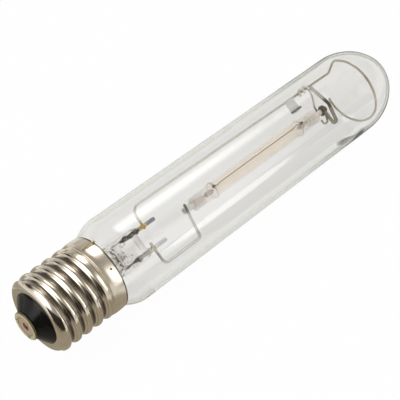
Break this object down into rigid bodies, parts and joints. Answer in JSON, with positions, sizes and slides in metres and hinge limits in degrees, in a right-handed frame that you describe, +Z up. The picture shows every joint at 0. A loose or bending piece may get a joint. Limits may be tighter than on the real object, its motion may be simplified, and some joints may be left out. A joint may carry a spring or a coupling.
{
  "type": "tubular discharge lamp",
  "caption": "Clear tubular discharge lamp on a large screw cap, with a ceramic arc tube on a bent wire mount inside the glass.",
  "frame": {"origin": "on the lamp axis, in the plane of the contact's rim", "axes": "+X along the lamp axis from the contact to the dome, +Z up as the lamp lies, +Y to complete a right-handed frame"},
  "size_m": [0.25, 0.046, 0.046],
  "materials": {
    "plated_shell": "bright plated brass sheet, rolled",
    "black_insulator": "glossy black insulator glass",
    "contact_metal": "pressed brass contact, slightly pink in its dish",
    "contact_solder": "coppery solder button",
    "rim_solder": "golden brown soldered seam",
    "cement": "dry capping cement",
    "clear_glass": "clear hard glass",
    "stem_glass": "clear hard glass, pressed",
    "thin_lead": "drawn nickel wire",
    "lead_rod": "drawn rod, darkened by welding",
    "mount_wire": "drawn nickel plated wire",
    "strap_metal": "soft stranded strap",
    "getter_metal": "pressed sheet",
    "arc_ceramic": "translucent alumina",
    "plug_ceramic": "alumina plug",
    "feed_metal": "drawn metal tube",
    "electrode_metal": "tungsten",
    "aid_metal": "fine drawn wire"
  },
  "bodies": {
    "root": {"screw_shell": "plated_shell", "cap_insulator": "black_insulator", "centre_contact": "contact_metal", "contact_solder": "contact_solder", "rim_solder": "rim_solder", "cap_cement": "cement", "glass_envelope": "clear_glass", "stem": "stem_glass", "contact_lead": "thin_lead", "shell_lead": "thin_lead", "frame_lead": "lead_rod", "support_lead": "lead_rod", "frame_wire": "mount_wire", "lower_support_wire": "mount_wire", "upper_support_wire": "mount_wire", "flexible_strap": "strap_metal", "getter_plate": "getter_metal", "getter_bar": "getter_metal", "arc_tube": "arc_ceramic", "lower_end_plug": "plug_ceramic", "upper_end_plug": "plug_ceramic", "lower_feedthrough": "feed_metal", "upper_feedthrough": "feed_metal", "lower_electrode": "electrode_metal", "upper_electrode": "electrode_metal", "starting_aid_wire": "aid_metal"}
  },
  "joints": []
}
